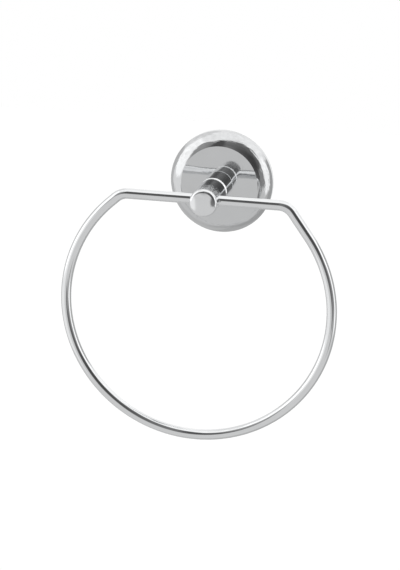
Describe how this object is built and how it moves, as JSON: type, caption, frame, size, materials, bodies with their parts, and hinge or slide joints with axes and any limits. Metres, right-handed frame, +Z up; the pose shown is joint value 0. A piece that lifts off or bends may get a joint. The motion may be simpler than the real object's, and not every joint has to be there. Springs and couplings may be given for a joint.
{
  "type": "towel holder",
  "caption": "Wall-mounted towel ring: a domed round rosette, a short turned post and a swinging bent-wire ring with a flat top bar.",
  "frame": {"origin": "on the wall plane, at the back centre of the wall plate and the rosette", "axes": "+Z up, +Y into the wall, the post stands out along -Y, +X to the right as seen from the room"},
  "size_m": [0.1604, 0.0568, 0.1728],
  "materials": {
    "chromed_cover": "polished chrome plate",
    "chromed_post": "polished chrome plate",
    "chromed_wire": "polished chrome plate",
    "cast_plate": "as-cast zinc alloy, dull grey",
    "zinc_plated_steel": "bright zinc plate"
  },
  "bodies": {
    "holder": {"rosette": "chromed_cover", "post_sleeve": "chromed_post", "post_head": "chromed_post", "wall_plate": "cast_plate", "threaded_stud": "zinc_plated_steel", "lock_washer": "zinc_plated_steel", "lock_nut": "zinc_plated_steel"},
    "ring": {"wire_ring": "chromed_wire"}
  },
  "joints": [
    {"name": "ring_swing", "type": "hinge", "parent": "holder", "child": "ring", "pos_m": [0, -0.046, 0], "axis": [-1, 0, 0], "range_deg": [-17.8, 197.8]}
  ]
}
